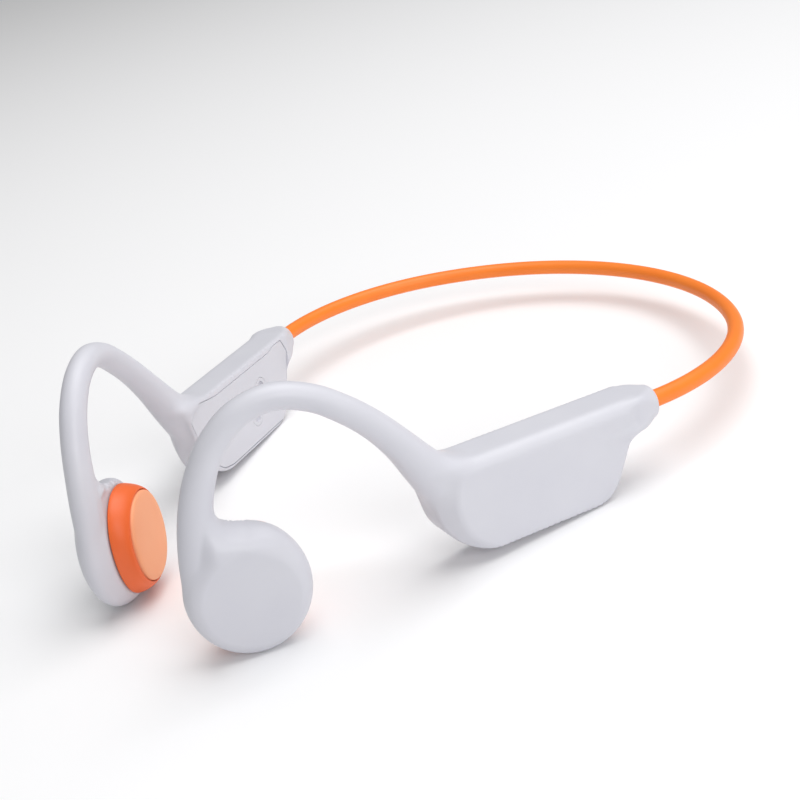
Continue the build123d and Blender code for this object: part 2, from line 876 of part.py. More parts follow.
def build_nodes():
    """All pieces by name."""
    nodes = make_neckband()
    shell = make_body_shell()
    right_shell = shell
    for cut in right_openings():
        right_shell -= housing_frame * cut
    for post in make_posts():
        right_shell += housing_frame * post
    nodes["body_shell_left"] = shell
    nodes["body_shell_right"] = mirrored_right(right_shell)
    for name, shape in side_pieces().items():
        nodes[name + "_left"] = shape
        nodes[name + "_right"] = mirrored_right(shape)

    socket = housing_frame * socket_frame_shape(make_charging_socket())
    seat = stadium(socket_length + 2 * socket_clearance, socket_width + 2 * socket_clearance)
    hole = housing_frame * socket_frame_shape(extrude(seat, -socket_thickness))
    cover = housing_frame * make_inner_cover()
    nodes["inner_cover_right"] = mirrored_right(cover - hole)
    left_contents = {
        "battery": make_battery(),
        "battery_tape": make_battery_tape(),
        "battery_board": make_battery_board(),
    }
    right_contents = {
        "main_board": make_main_board(),
        "board_screws": make_board_screws(),
        "radio_shield": make_radio_shield(),
        "antenna": make_antenna(),
        "board_connectors": make_board_connectors(),
        "volume_up_button": make_button(button_places[0]),
        "volume_down_button": make_button(button_places[1]),
        "button_membrane": make_button_membrane(),
        "button_switches": make_switches(),
        "microphone": make_microphone(),
        "microphone_mesh": make_microphone_mesh(),
        "light_pipe": make_light_pipe(),
        "status_light": make_status_light(),
        "charging_pins": [socket_frame_shape(pin) for pin in make_charging_pins()],
        "charging_magnets": [socket_frame_shape(magnet) for magnet in make_charging_magnets()],
    }
    nodes["charging_socket"] = mirrored_right(socket)
    for name, shape in left_contents.items():
        nodes[name] = placed(shape, housing_frame)
    for name, shape in right_contents.items():
        nodes[name] = mirrored_right(placed(shape, housing_frame))
    return nodes


def as_shape(piece):
    """One solid, or a group of separate solids."""
    if isinstance(piece, list):
        return Compound([solid for item in piece for solid in item.solids()])
    return piece


def write_nodes(nodes):
    """Put the origin under the middle of the headphones and write one file for each piece."""
    shapes = {name: as_shape(piece) for name, piece in nodes.items()}
    lows = [shape.bounding_box().min for shape in shapes.values()]
    highs = [shape.bounding_box().max for shape in shapes.values()]
    middle = (min(p.Y for p in lows) + max(p.Y for p in highs)) / 2
    floor = min(p.Z for p in lows)
    print("moved by", round(-middle, 4), round(-floor, 4))
    os.makedirs("parts", exist_ok=True)
    for name, shape in shapes.items():
        export_step(Pos(0, -middle, -floor) * shape, os.path.join("parts", name + ".step"))


write_nodes(build_nodes())
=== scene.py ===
"""Bone conduction headphones: light grey shells, orange neckband and pods."""

import json
from math import cos, radians, sin, tan

import bmesh
import bpy
import numpy as np
from mathutils import Matrix, Vector


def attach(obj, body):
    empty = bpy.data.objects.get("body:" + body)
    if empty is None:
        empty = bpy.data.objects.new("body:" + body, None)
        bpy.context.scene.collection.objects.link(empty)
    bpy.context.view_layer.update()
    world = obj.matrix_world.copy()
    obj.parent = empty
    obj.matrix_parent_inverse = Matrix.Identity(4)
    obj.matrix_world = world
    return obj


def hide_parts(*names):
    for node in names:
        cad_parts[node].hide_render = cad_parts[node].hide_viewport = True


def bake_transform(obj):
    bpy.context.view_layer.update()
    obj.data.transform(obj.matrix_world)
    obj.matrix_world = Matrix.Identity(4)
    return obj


MM = 0.001

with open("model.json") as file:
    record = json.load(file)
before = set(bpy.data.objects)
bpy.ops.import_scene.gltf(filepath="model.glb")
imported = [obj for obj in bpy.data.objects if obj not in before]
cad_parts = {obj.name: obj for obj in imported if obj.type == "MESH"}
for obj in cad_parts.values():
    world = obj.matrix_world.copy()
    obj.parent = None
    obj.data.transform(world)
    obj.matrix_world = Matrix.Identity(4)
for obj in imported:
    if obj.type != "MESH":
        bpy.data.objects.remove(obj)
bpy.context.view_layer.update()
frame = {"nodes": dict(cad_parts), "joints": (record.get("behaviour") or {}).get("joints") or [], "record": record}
nodes = frame["nodes"]
mounts = {mount["name"]: mount for mount in frame["record"]["mounts"]}
joints = {joint["name"]: joint for joint in frame["joints"]}

# ---- sizes in millimetres, as the frame has them ----
band_back_radius = 58.0
band_back_angle = 50.0
band_side_radius = 48.5
band_radius = 1.75
band_insertion = 4.5
band_tilt = 5.2
housing_toe = 19.0
housing_top = 3.75
housing_bottom = -15.65
housing_front = -54.0
housing_front_lean = 14.0
housing_rear = -6.5
housing_rear_lean = 24.0
half_thickness = 4.8
collar_radius = 3.3
collar_length = 14.0
collar_trim = 0.3
pod_seam = (9.4, 11.3)
pod_girth = (11.7, 13.1)
pod_facet = (9.4, 10.9)
pod_shoulder = (12.3, 11.8, 10.4)
pod_rear_swell = 1.2
pod_lead = 0.4
outer_face_slope = 0.06
outer_face_drop = 0.3
seam_depth = 4.4
girth_depth = 8.0
pod_depth = 11.4
flat_arc_centre = (-35.2, -3.5)
flat_arc_radius = 13.2
run_off_slope = radians(42.0)
front_corner = 8.8
rear_corner = 4.0
top_corner = 1.5
head_edge = 0.8
collar_sunk = 1.2
tiny_edge = 0.3

# ---- clearances and mesh sizes in millimetres ----
skin_step = 0.42
cover_gap = 0.13
cover_corner = 0.5
cover_rim = 0.18
bore_gap = 0.05
bore_end = 0.1
button_gap = 0.15
socket_gap = 0.08
cutter_over = 1.0


# ---- frames of the left side; the right side is their mirror image ----

class Axes:
    """Origin and three unit directions, in millimetres."""

    def __init__(self, origin, x, y, z):
        self.origin = np.array(origin, float)
        self.basis = np.array([x, y, z], float)

    def local(self, points):
        return (points - self.origin) @ self.basis.T

    def place(self, points):
        return np.asarray(points, float) @ self.basis + self.origin

    def matrix(self):
        """Blender matrix from local millimetres to metres."""
        turn = Matrix([list(row) for row in self.basis]).transposed().to_4x4()
        return Matrix.Translation(Vector(self.origin * MM)) @ turn @ Matrix.Scale(MM, 4)


def unit(vector):
    return np.array(vector, float) / np.linalg.norm(vector)


def pod_axes():
    """x back across the left contact face, y up, z outwards."""
    mount = mounts["contact_face_left"]
    outward = -unit(mount["axis"])
    up = np.array([0.0, 0.0, 1.0])
    return Axes(np.array(mount["pos_m"]) / MM, np.cross(up, outward), up, outward)


def band_axes():
    """x to the wearer's left, y back along the neckband's plane, from its rearmost point."""
    slope = radians(band_tilt)
    back = np.array([0.0, cos(slope), -sin(slope)])
    left = np.array([1.0, 0.0, 0.0])
    apex = np.array(joints["neckband_flex"]["pos_m"]) / MM
    return Axes(apex, left, back, np.cross(left, back))


def housing_axes():
    """x back along the left housing, y up, z outwards, from where the neckband leaves."""
    band = band_axes()
    toe = radians(housing_toe)
    arc = radians(band_back_angle)
    side = band_back_radius * sin(arc) + band_side_radius * (cos(toe) - sin(arc))
    reach = band_back_radius * (1 - cos(arc)) + band_side_radius * (cos(arc) + sin(toe))
    back = band.basis[0] * sin(toe) + band.basis[1] * cos(toe)
    outward = unit([back[1], -back[0], 0.0])
    return Axes(band.place([side, -reach, 0.0]), back, np.cross(outward, back), outward)


pod = pod_axes()
band = band_axes()
housing = housing_axes()


# ---- distance functions, in millimetres, negative inside ----

def rounded_max(a, b, radius):
    """Both shapes at once, with their shared edge rounded."""
    radius = np.maximum(radius, 1e-6)
    beyond = np.hypot(np.maximum(a + radius, 0), np.maximum(b + radius, 0))
    return np.minimum(np.maximum(a, b), -radius) + beyond


def rounded_min(a, b, radius):
    """Either shape, with the corner between them filled by a fillet."""
    return -rounded_max(-a, -b, radius)


def soft_step(low, high, value):
    """0 below low, 1 above high, with an even rise between them."""
    t = np.clip((value - low) / (high - low), 0, 1)
    return t * t * (3 - 2 * t)


def ellipse_distance(x, y, half_width, half_height):
    """Nearly the distance from an ellipse."""
    away = np.sqrt((x / half_width) ** 2 + (y / half_height) ** 2) + 1e-9
    slope = np.sqrt((x / half_width ** 2) ** 2 + (y / half_height ** 2) ** 2) + 1e-9
    return away * (away - 1) / slope


def through_three(at, places, values):
    """Curve of the second degree through three values."""
    return np.polyval(np.polyfit(places, values, 2), at)


def pod_distance(points):
    """Outer cup of the pod: an oval that swells, then closes on a nearly flat outer face."""
    x, y, depth = pod.local(points).T
    levels = (seam_depth, girth_depth, pod_depth)
    at = np.clip(depth, seam_depth - 1, pod_depth + 1)
    half_width = through_three(at, levels, (pod_seam[0], pod_girth[0], pod_facet[0]))
    low_height = through_three(at, levels, (pod_seam[1], pod_girth[1], pod_facet[1]))
    swell = np.maximum(1 - ((depth - girth_depth) / (pod_depth - girth_depth)) ** 2, 0)
    swell *= pod_rear_swell * soft_step(1.0, 8.0, x)
    high_height = through_three(at, levels, pod_shoulder) + swell
    half_height = low_height + (high_height - low_height) * soft_step(-2.0, 7.0, y)
    lead = pod_lead * soft_step(seam_depth, girth_depth, depth)
    side = ellipse_distance(x + lead, y, half_width, half_height)
    outer = depth - (pod_depth + outer_face_slope * y - outer_face_drop)
    cup = rounded_max(side, outer, 1.0 + 0.8 * soft_step(-2.0, 13.0, y))
    return rounded_max(cup, seam_depth - depth, tiny_edge)


# stations of the ear hook in the pod's axes: x, y, depth, width and thickness
hook_stations = (
    (-7.4, -2.0, 8.2, 5.6, 4.0),
    (-7.2, 4.0, 7.8, 8.2, 5.6),
    (-6.7, 10.5, 7.4, 7.3, 5.9),
    (-5.2, 17.5, 7.2, 6.3, 5.4),
    (-2.7, 23.6, 7.1, 5.7, 5.2),
    (0.9, 28.8, 6.9, 5.3, 5.2),
    (6.2, 32.7, 6.6, 5.1, 5.1),
    (12.8, 33.8, 6.4, 5.0, 5.1),
    (19.2, 31.5, 6.4, 5.0, 5.1),
    (24.4, 27.4, 6.2, 5.2, 5.2),
    (28.9, 22.4, 5.5, 5.5, 5.4),
    (32.7, 16.7, 4.5, 6.2, 6.0),
    (36.2, 10.3, 3.2, 7.8, 7.2),
    (39.6, 4.4, 1.8, 9.6, 8.2),
    (42.0, 0.6, 0.9, 9.8, 8.4),
)


def smooth_row(stations, steps):
    """Even curve through rows of numbers, with its direction at each step."""
    rows = np.array(stations)
    padded = np.vstack([2 * rows[0] - rows[1], rows, 2 * rows[-1] - rows[-2]])
    made = []
    for a, b, c, d in zip(padded, padded[1:], padded[2:], padded[3:]):
        for t in np.arange(steps) / steps:
            bend = (2 * a - 5 * b + 4 * c - d) * t ** 2 + (3 * b - a - 3 * c + d) * t ** 3
            made.append(0.5 * (2 * b + (c - a) * t + bend))
    made.append(rows[-1])
    made = np.array(made)
    along = np.gradient(made[:, :3], axis=0)
    return made, along / np.linalg.norm(along, axis=1)[:, None]


hook_rows, hook_along = smooth_row(hook_stations, 12)


def hook_distance(points):
    """Ear hook: an oval bar whose width and thickness change along it."""
    at = pod.local(points)
    centres = hook_rows[:, :3]
    spans = at @ centres.T
    nearest = np.argmin((centres ** 2).sum(axis=1) - 2 * spans, axis=1)
    along = hook_along[nearest]
    offset = at - centres[nearest]
    shift = (offset * along).sum(axis=1)
    step = np.linalg.norm(centres[1] - centres[0])
    last = len(centres) - 1
    ends = (nearest == 0) & (shift < 0) | (nearest == last) & (shift > 0)
    blend = np.clip(shift / step, -0.5, 0.5)
    other = np.clip(nearest + np.sign(blend).astype(int), 0, last)
    share = np.abs(blend)[:, None]
    width, thickness = (hook_rows[nearest, 3:] * (1 - share) + hook_rows[other, 3:] * share).T
    across = np.cross(along, [0.0, 0.0, 1.0])
    across /= np.linalg.norm(across, axis=1)[:, None]
    beside = np.cross(across, along)
    side = (offset * across).sum(axis=1)
    height = (offset * beside).sum(axis=1)
    bar = ellipse_distance(side, height, width / 2, thickness / 2)
    return np.where(ends, np.hypot(np.maximum(bar, 0), shift) + np.minimum(bar, 0), bar)


def housing_edges(x, y):
    """Distances outside the front, top, rear and bottom edges of the housing."""
    front_lean = radians(housing_front_lean)
    rear_lean = radians(housing_rear_lean)
    front = (housing_front + tan(front_lean) * (housing_top - y) - x) * cos(front_lean)
    rear = (x - housing_rear - tan(rear_lean) * y) * cos(rear_lean)
    return front, y - housing_top, rear, housing_bottom - y


def housing_distance(points):
    """Flat housing behind the ear, with the collar that holds the neckband."""
    x, y, outward = housing.local(points).T
    front, top, rear, bottom = housing_edges(x, y)
    outline = rounded_max(front, bottom, front_corner)
    outline = rounded_max(outline, rear, rear_corner)
    outline = rounded_max(outline, top, top_corner)
    rounding = 1.2 + 1.6 * soft_step(-6.0, -1.0, top) - 0.5 * soft_step(-3.0, 0.0, bottom)
    slab = rounded_max(outline, outward - half_thickness, rounding)
    slab = rounded_max(slab, -half_thickness - outward, head_edge)
    arc_x, arc_y = flat_arc_centre
    arc = np.hypot(np.minimum(x - arc_x, 0), y - arc_y) - flat_arc_radius
    run_off = arc * sin(run_off_slope) + (outward - half_thickness) * cos(run_off_slope)
    slab = rounded_max(slab, run_off, 0.5)
    # round where the neckband leaves, then squarer and wider, then sunk inside the housing
    sunk = collar_sunk * soft_step(6.0, 13.0, -x)
    wider = half_thickness - 0.05 - collar_radius
    higher = housing_top - 0.02 - collar_radius
    half_width = collar_radius + wider * soft_step(-0.5, 7.0, -x) - sunk
    half_height = collar_radius + higher * soft_step(-0.5, 4.0, -x) - sunk
    corner = collar_radius - 0.05 - 1.9 * soft_step(0.0, 5.0, -x)
    collar = rounded_max(np.abs(outward) - half_width, np.abs(y) - half_height, corner)
    collar = rounded_max(collar, np.maximum(x + collar_trim, -collar_length - x), 0.5)
    return rounded_min(slab, collar, 0.4 + 2.1 * (1 - soft_step(-3.0, -0.5, y)))


def shell_distance(points):
    """Seamless moulding of the left side."""
    x, y, depth = pod.local(points).T
    crotch = soft_step(-8.0, -4.0, x) * soft_step(5.0, 11.0, y)
    forward = rounded_min(pod_distance(points), hook_distance(points), 0.6 + 5.0 * crotch)
    # flat at the pod's seam, and left alone up the hook and back to the housing
    away = 3.0 * soft_step(12.0, 17.0, y) + 20.0 * soft_step(13.0, 20.0, x)
    forward = rounded_max(forward, seam_depth - depth - away, tiny_edge)
    crease = soft_step(0.0, 4.0, housing.local(points)[:, 1])
    return rounded_min(forward, housing_distance(points), 0.8 + 2.6 * crease)


# ---- meshes ----

def object_from(mesh_builder, name):
    """Object in the scene made from a bmesh in metres."""
    mesh = bpy.data.meshes.new(name)
    mesh_builder.to_mesh(mesh)
    mesh_builder.free()
    made = bpy.data.objects.new(name, mesh)
    bpy.context.scene.collection.objects.link(made)
    return made


def applied(made):
    """The object with its modifiers worked into its mesh."""
    bpy.context.view_layer.update()
    ready = made.evaluated_get(bpy.context.evaluated_depsgraph_get())
    mesh = bpy.data.meshes.new_from_object(ready)
    old = made.data
    made.modifiers.clear()
    made.data = mesh
    mesh.name = made.name
    bpy.data.meshes.remove(old)
    return made


def smooth_shading(made, sharp_angle=35):
    """Smooth faces that keep their real edges."""
    made.data.shade_smooth()
    made.data.set_sharp_from_angle(angle=radians(sharp_angle))


def add_tube(builder, points, radii, segments=24):
    """Closed round bar through points, made from rings that are bridged."""
    rings = []
    ahead = [(Vector(b) - Vector(a)).normalized() for a, b in zip(points, points[1:])]
    directions = [ahead[0]] + [a + b for a, b in zip(ahead, ahead[1:])] + [ahead[-1]]
    for point, direction, radius in zip(points, directions, radii):
        turn = direction.to_track_quat("Z", "X").to_matrix().to_4x4()
        matrix = Matrix.Translation(Vector(point)) @ turn
        ring = bmesh.ops.create_circle(builder, segments=segments, radius=radius, matrix=matrix)
        edges = list({edge for vertex in ring["verts"] for edge in vertex.link_edges})
        if rings:
            bmesh.ops.bridge_loops(builder, edges=rings[-1] + edges)
        rings.append(edges)
    bmesh.ops.holes_fill(builder, edges=rings[0] + rings[-1], sides=segments)
    bmesh.ops.recalc_face_normals(builder, faces=builder.faces)


def rough_shell():
    """Blocks and bars close to the left shell, before they are melted into one skin."""
    builder = bmesh.new()
    cup = bmesh.ops.create_uvsphere(builder, u_segments=32, v_segments=16, radius=1.0)["verts"]
    centre = Matrix.Translation((-pod_lead, 0, (seam_depth + pod_depth) / 2))
    size = Matrix.Diagonal((*pod_girth, (pod_depth - seam_depth) * 0.62, 1.0))
    bmesh.ops.transform(builder, verts=cup, matrix=pod.matrix() @ centre @ size)
    step = 6
    points = [pod.matrix() @ Vector(row[:3]) for row in hook_rows[::step]]
    add_tube(builder, points, [row[3] / 2.2 * MM for row in hook_rows[::step]])
    block = bmesh.ops.create_cube(builder, size=1.0)["verts"]
    length = -housing_rear - housing_front
    height = housing_top - housing_bottom
    middle = ((housing_rear + housing_front) / 2, (housing_top + housing_bottom) / 2, 0.0)
    centre = Matrix.Translation(middle)
    size = Matrix.Diagonal((length * 0.86, height * 0.92, 2 * half_thickness * 0.96, 1.0))
    bmesh.ops.transform(builder, verts=block, matrix=housing.matrix() @ centre @ size)
    ends = [housing.matrix() @ Vector((x, 0, 0)) for x in (-0.2, -collar_length)]
    add_tube(builder, ends, [collar_radius * MM] * 2)
    return object_from(builder, "left_shell")


def settle(points, distance, rounds):
    """Points moved onto the surface where a distance is zero."""
    nudge = 0.02
    for _ in range(rounds):
        value = distance(points)
        rise = [distance(points + step) - distance(points - step) for step in np.eye(3) * nudge]
        slope = np.stack(rise, axis=1) / (2 * nudge)
        size = np.maximum((slope ** 2).sum(axis=1), 0.05)
        points = points - slope * np.clip(value / size, -1.5, 1.5)[:, None]
    return points


def relax(mesh, rounds):
    """Spread the points evenly."""
    builder = bmesh.new()
    builder.from_mesh(mesh)
    for _ in range(rounds):
        bmesh.ops.smooth_vert(
            builder, verts=builder.verts, factor=0.5,
            use_axis_x=True, use_axis_y=True, use_axis_z=True,
        )
    builder.to_mesh(mesh)
    builder.free()


def settle_mesh(mesh, distance, rounds):
    """Settle a mesh in metres on a surface given in millimetres."""
    points = np.empty(len(mesh.vertices) * 3)
    mesh.vertices.foreach_get("co", points)
    points = settle(points.reshape(-1, 3) / MM, distance, rounds)
    mesh.vertices.foreach_set("co", (points * MM).ravel())
    mesh.update()


def make_skin():
    """Seamless left skin: melted blocks whose points are settled on the shell's surface."""
    skin = rough_shell()
    melt = skin.modifiers.new("melt", "REMESH")
    melt.mode = "VOXEL"
    melt.voxel_size = skin_step * MM
    applied(skin)
    for rounds in (3, 2, 1):
        settle_mesh(skin.data, shell_distance, rounds)
        relax(skin.data, 4)
    settle_mesh(skin.data, shell_distance, 4)
    return skin


# ---- materials ----

class Signal:
    """Output of a node; sums and products on it add Math nodes."""

    def __init__(self, finish, socket):
        self.finish = finish
        self.socket = socket

    def math(self, operation, first, second):
        return self.finish.node("ShaderNodeMath", {"operation": operation}, {0: first, 1: second})

    def __add__(self, other):
        return self.math("ADD", self, other)

    def __radd__(self, other):
        return self.math("ADD", other, self)

    def __sub__(self, other):
        return self.math("SUBTRACT", self, other)

    def __rsub__(self, other):
        return self.math("SUBTRACT", other, self)

    def __mul__(self, other):
        return self.math("MULTIPLY", self, other)

    def __rmul__(self, other):
        return self.math("MULTIPLY", other, self)


class Finish:
    """Material made of nodes."""

    def __init__(self, name, **constants):
        self.material = bpy.data.materials.new(name)
        self.material.use_nodes = True
        self.tree = self.material.node_tree
        self.surface = self.tree.nodes["Principled BSDF"]
        for socket, value in constants.items():
            self.surface.inputs[socket.replace("_", " ")].default_value = value

    def node(self, kind, settings, inputs, output=0):
        """Add a node with its settings, then the values or links of its sockets."""
        made = self.tree.nodes.new(kind)
        for name, value in settings.items():
            setattr(made, name, value)
        for socket, value in inputs.items():
            self.feed(made.inputs[socket], value)
        return Signal(self, made.outputs[output])

    def feed(self, socket, value):
        """Link or set one socket."""
        if isinstance(value, Signal):
            self.tree.links.new(value.socket, socket)
        else:
            socket.default_value = value

    def set(self, **inputs):
        """Feed the surface's own sockets."""
        for name, value in inputs.items():
            self.feed(self.surface.inputs[name.replace("_", " ")], value)

    def place(self):
        return self.node("ShaderNodeTexCoord", {}, {}, "Object")

    def noise(self, pitch, detail=2.0, roughness=0.5):
        """Even noise with a pitch in millimetres."""
        scale = 1 / (pitch * MM)
        return self.node(
            "ShaderNodeTexNoise", {},
            {"Vector": self.place(), "Scale": scale, "Detail": detail, "Roughness": roughness},
        )

    def spread(self, signal, low, high):
        """Noise in its usual range made to run from low to high."""
        return self.node(
            "ShaderNodeMapRange", {},
            {"Value": signal, "From Min": 0.3, "From Max": 0.7, "To Min": low, "To Max": high},
        )

    def tint(self, signal, first, second):
        """Colour between two, by a signal from 0 to 1."""
        colours = {"Factor": signal, 6: rgba(*first), 7: rgba(*second)}
        return self.node("ShaderNodeMix", {"data_type": "RGBA"}, colours, 2)

    def bump(self, height, depth, strength=1.0):
        """Surface relief with a depth in millimetres."""
        return self.node(
            "ShaderNodeBump", {}, {"Height": height, "Distance": depth * MM, "Strength": strength}
        )


def rgba(*values):
    """Linear colour from screen values out of 255."""
    parts = [value / 255 for value in values]
    linear = [p / 12.92 if p <= 0.04045 else ((p + 0.055) / 1.055) ** 2.4 for p in parts]
    return (*linear, 1.0)


def moulded(name, colour, shade, rough, grain, pitch, **constants):
    """Moulded surface: texture of the mould, faint clouding and shinier handled patches."""
    finish = Finish(name, **constants)
    cloud = finish.spread(finish.noise(14.0, 3.0), 0.0, 1.0)
    fine = finish.noise(pitch, 3.0, 0.6)
    handled = finish.spread(finish.noise(9.0, 4.0), -0.035, 0.035)
    finish.set(
        Base_Color=finish.tint(cloud, colour, shade),
        Roughness=handled + rough + (fine - 0.5) * 0.08,
        Normal=finish.bump(fine, grain),
    )
    return finish.material


def metal(name, colour, rough, pitch, **constants):
    """Bare or plated metal with a drawn or rolled grain."""
    finish = Finish(name, Metallic=1.0, **constants)
    grain = finish.noise(pitch, 4.0, 0.7)
    wear = finish.spread(finish.noise(2.5, 3.0), 0.0, 1.0)
    finish.set(
        Base_Color=finish.tint(wear, colour, [value * 0.86 for value in colour]),
        Roughness=finish.spread(grain, rough - 0.06, rough + 0.06),
        Normal=finish.bump(grain, 0.004),
    )
    return finish.material


# ---- pieces ----

def add_plate(builder, axes, outline, near, far, corner, edge=0.0, segments=6):
    """Flat plate through corner points, with round corners and a soft rim on the near side."""
    matrix = axes.matrix()
    corners = [builder.verts.new(matrix @ Vector((x, y, near))) for x, y in outline]
    face = builder.faces.new(corners)
    if corner:
        cut = bmesh.ops.bevel(
            builder, geom=corners, affect="VERTICES", offset=corner * MM, offset_type="OFFSET",
            segments=segments, profile=0.5, material=-1, clamp_overlap=True,
        )
        face = max((f for v in cut["verts"] for f in v.link_faces), key=lambda f: f.calc_area())
    rim = list(face.edges)
    grown = bmesh.ops.extrude_face_region(builder, geom=[face])["geom"]
    lifted = [item for item in grown if isinstance(item, bmesh.types.BMVert)]
    bmesh.ops.translate(builder, verts=lifted, vec=Vector(axes.basis[2] * (far - near) * MM))
    bmesh.ops.recalc_face_normals(builder, faces=builder.faces)
    if edge:
        bmesh.ops.bevel(
            builder, geom=[e for e in rim if e.is_valid], affect="EDGES", offset=edge * MM,
            offset_type="OFFSET", segments=3, profile=0.5, material=-1,
        )


def add_ovals(builder, axes, rings, segments=96, fullness=2.0):
    """Closed stack of ovals: half width, half height, depth and centre.

    A fullness above 2 squares them a little.
    """
    loops = []
    for half_width, half_height, depth, *centre in rings:
        matrix = axes.matrix() @ Matrix.Translation((*(centre or (0, 0)), depth))
        size = Matrix.Diagonal((half_width, half_height, 1, 1))
        circle = bmesh.ops.create_circle(builder, segments=segments, radius=1.0, matrix=size)
        ring = circle["verts"]
        for vertex in ring:
            x, y, z = vertex.co
            full = abs(x / half_width) ** fullness + abs(y / half_height) ** fullness
            fill = full ** (-1 / fullness)
            vertex.co = matrix @ Vector((x * fill, y * fill, z))
        edges = list({edge for vertex in ring for edge in vertex.link_edges})
        if loops:
            bmesh.ops.bridge_loops(builder, edges=loops[-1] + edges)
        loops.append(edges)
    bmesh.ops.holes_fill(builder, edges=loops[0] + loops[-1], sides=segments)
    bmesh.ops.recalc_face_normals(builder, faces=builder.faces)


def cut_with(made, cutter):
    """Take a cutter out of a piece."""
    cut = made.modifiers.new("cut", "BOOLEAN")
    cut.operation = "DIFFERENCE"
    cut.solver = "EXACT"
    cut.object = cutter
    applied(made)
    bpy.data.objects.remove(cutter)


def mirrored(made, name):
    """Mirror image of a left piece for the right side."""
    builder = bmesh.new()
    builder.from_mesh(made.data)
    bmesh.ops.scale(builder, vec=(-1, 1, 1), verts=builder.verts)
    bmesh.ops.reverse_faces(builder, faces=builder.faces)
    return object_from(builder, name)


def grown_outline(outline, amount):
    """Outline moved outwards all round."""
    middle = np.mean(outline, axis=0)
    made = []
    count = len(outline)
    for index, point in enumerate(outline):
        before = unit(np.subtract(point, outline[index - 1]))
        after = unit(np.subtract(outline[(index + 1) % count], point))
        normal_a = np.array([before[1], -before[0]])
        normal_b = np.array([after[1], -after[0]])
        side = 1 if normal_a @ (np.array(point) - middle) > 0 else -1
        mitre = (normal_a + normal_b) / (1 + normal_a @ normal_b)
        made.append(tuple(np.array(point) + side * amount * mitre))
    return made


# inner cover in the housing's axes, from the collar forwards along the top edge
cover_outline = (
    (-9.4, 2.9),
    (-13.6, 2.9),
    (-16.0, 2.3),
    (-41.5, 2.3),
    (-44.6, 2.75),
    (-48.6, 3.5),
    (-50.7, 2.7),
    (-52.7, 0.6),
    (-51.3, -4.6),
    (-48.6, -10.6),
    (-44.2, -14.0),
    (-40.5, -14.75),
    (-15.2, -14.75),
    (-12.6, -12.8),
    (-8.9, -3.8),
    (-7.6, -0.6),
)
cover_depth = 1.2
opening_depth = cover_depth + 0.3
button_size = (7.5, 3.4)
button_places = (-38.0, -27.5)
button_depth = 1.9
# round holes in the underside: place along the housing and radius
port_holes = ((-21.05, 0.5), (-17.85, 0.75))
port_depth = 2.0
socket_place = (-24.5, -6.45)
socket_lean = 36.0
socket_size = (11.4, 4.4)
socket_depth = 2.0


def underside_axes(place):
    """x along the housing, y outwards, z down out of the underside."""
    x, up, outward = housing.basis
    return Axes(housing.place([place, housing_bottom, 0.0]), x, outward, np.cross(x, outward))


def add_slot(builder, axes, half_length, half_width, depth, segments):
    """Round-ended cutter along y that sinks to a depth."""
    corners = ((-1, -1), (1, -1), (1, 1), (-1, 1))
    outline = [(x * half_length, y * half_width) for x, y in corners]
    corner = min(half_length, half_width) - 0.01
    add_plate(builder, axes, outline, -depth, cutter_over, corner, 0.0, segments)


def make_shell(skin, right):
    """Shell of one side, cut for its inner cover, the neckband and the buttons and ports."""
    shell = skin.copy()
    shell.data = skin.data.copy()
    bpy.context.scene.collection.objects.link(shell)
    builder = bmesh.new()
    opening = grown_outline(cover_outline, cover_gap)
    near, far = -half_thickness - 3 * cutter_over, -half_thickness + opening_depth
    add_plate(builder, housing, opening, near, far, cover_corner)
    cut_with(shell, object_from(builder, "opening"))
    builder = bmesh.new()
    bore = band_radius + bore_gap
    across = Axes(housing.origin, housing.basis[1], housing.basis[2], housing.basis[0])
    bore_ends = (-band_insertion - bore_end, cutter_over)
    add_ovals(builder, across, [(bore, bore, depth) for depth in bore_ends], 48)
    cut_with(shell, object_from(builder, "bore"))
    if right:
        builder = bmesh.new()
        length, width = button_size
        for place in button_places:
            add_slot(
                builder, underside_axes(place), length / 2 + button_gap, width / 2 + button_gap,
                button_depth, 8,
            )
        for place, radius in port_holes:
            hole = [(radius, radius, depth) for depth in (-port_depth, cutter_over)]
            add_ovals(builder, underside_axes(place), hole, 32)
        cut_with(shell, object_from(builder, "ports"))
    return shell


def make_cover(right):
    """Inner cover, with the seat of the charging socket on the right side."""
    builder = bmesh.new()
    near, far = -half_thickness, -half_thickness + cover_depth
    add_plate(builder, housing, cover_outline, near, far, cover_corner, cover_rim)
    cover = object_from(builder, "left_cover")
    if right:
        lean = radians(socket_lean)
        along = housing.basis[0] * sin(lean) + housing.basis[1] * cos(lean)
        out = -housing.basis[2]
        place = housing.place([*socket_place, -half_thickness])
        axes = Axes(place, np.cross(along, out), along, out)
        length, width = socket_size
        builder = bmesh.new()
        add_slot(
            builder, axes, width / 2 + socket_gap, length / 2 + socket_gap, socket_depth, 10
        )
        cut_with(cover, object_from(builder, "socket_seat"))
    return cover


